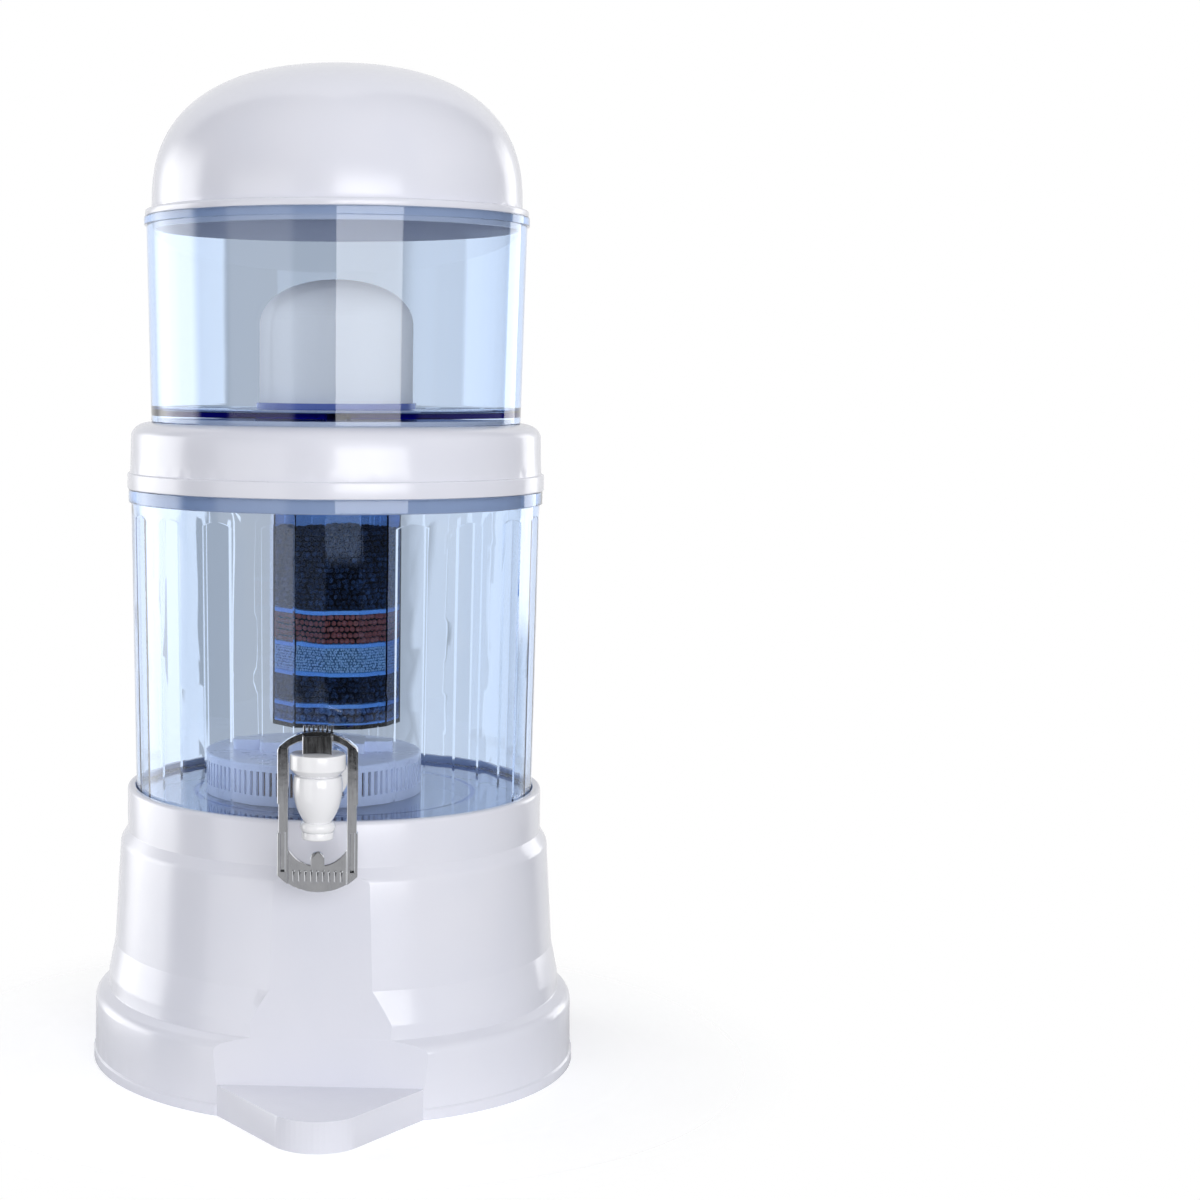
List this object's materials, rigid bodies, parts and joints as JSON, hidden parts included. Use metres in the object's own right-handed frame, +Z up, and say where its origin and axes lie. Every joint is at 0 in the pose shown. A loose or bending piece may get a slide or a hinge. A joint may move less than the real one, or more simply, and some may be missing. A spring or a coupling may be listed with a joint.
{
  "type": "gravity water filter",
  "caption": "Countertop gravity water filter: domed lid, clear upper tank with ceramic filter, collar, clear lower tank with mineral cartridge and push-lever tap, on a stand with a cup tray.",
  "frame": {"origin": "on the floor, under the common axis of the tanks", "axes": "+Z up along the tanks' axis, the tap and the cup tray towards -Y, +X to the right seen from the tap"},
  "size_m": [0.31, 0.3596, 0.6295],
  "materials": {
    "white_shell": "smooth moulded gloss",
    "tap_white": "polished moulded gloss",
    "clear_blue": "clear, tinted blue",
    "cartridge_clear": "clear, tinted blue",
    "case_lilac": "satin moulded",
    "indigo_plastic": "gloss",
    "ceramic": "fine porous ceramic, matte",
    "pad": "felt pad",
    "carbon": "carbon granules",
    "sand": "coarse sand",
    "clay_balls": "fired clay balls",
    "blue_stones": "small wet stones",
    "brown_stones": "rounded stones",
    "silicone": "matte silicone",
    "chrome_plate": "bright chrome plate",
    "steel": "bright stainless wire"
  },
  "bodies": {
    "base": {"base_stand": "white_shell"},
    "lower_tank": {"lower_tank": "clear_blue", "tap_washer_outer": "silicone", "tap_washer_inner": "silicone", "tap_nut": "tap_white", "tap_body": "tap_white", "tap_cap": "tap_white", "tap_spring": "steel", "stone_case_body": "case_lilac", "stone_case_lid": "case_lilac", "case_stones": "brown_stones"},
    "tap_stem": {"tap_stem": "tap_white", "tap_seal": "silicone"},
    "lever": {"lever": "chrome_plate", "lever_pin": "steel"},
    "collar": {"collar": "white_shell"},
    "upper_tank": {"upper_tank": "clear_blue", "ceramic_dome": "ceramic", "ceramic_base": "indigo_plastic", "ceramic_gasket": "silicone", "floor_washer": "silicone", "fixing_nut": "tap_white", "cartridge_cap": "cartridge_clear", "cartridge_housing": "cartridge_clear", "cartridge_strainer": "pad", "bottom_stones": "blue_stones", "carbon_lower": "carbon", "mineral_sand": "sand", "mineral_balls": "clay_balls", "carbon_upper": "carbon", "separator_1": "pad", "separator_2": "pad", "separator_3": "pad", "separator_4": "pad"},
    "lid": {"dome_lid": "white_shell"}
  },
  "joints": [
    {"name": "lower_tank_lift", "type": "slide", "parent": "base", "child": "lower_tank", "axis": [0, 0, 1], "range_m": [0, 0.03]},
    {"name": "collar_lift", "type": "slide", "parent": "lower_tank", "child": "collar", "axis": [0, 0, 1], "range_m": [0, 0.06]},
    {"name": "upper_tank_lift", "type": "slide", "parent": "collar", "child": "upper_tank", "axis": [0, 0, 1], "range_m": [0, 0.21]},
    {"name": "lid_lift", "type": "slide", "parent": "upper_tank", "child": "lid", "axis": [0, 0, 1], "range_m": [0, 0.1]},
    {"name": "stem_lift", "type": "slide", "parent": "lower_tank", "child": "tap_stem", "axis": [0, 0, 1], "range_m": [0, 0.003], "stiffness_N_per_m": 400, "springref_m": -0.002, "deforming": ["tap_spring"]},
    {"name": "lever_push", "type": "hinge", "parent": "tap_stem", "child": "lever", "pos_m": [0, -0.17607, 0.2295], "axis": [1, 0, 0], "range_deg": [0, 18]}
  ],
  "couplings": [
    {"joint": "stem_lift", "follows": "lever_push", "m_per_rad": 0.008}
  ]
}
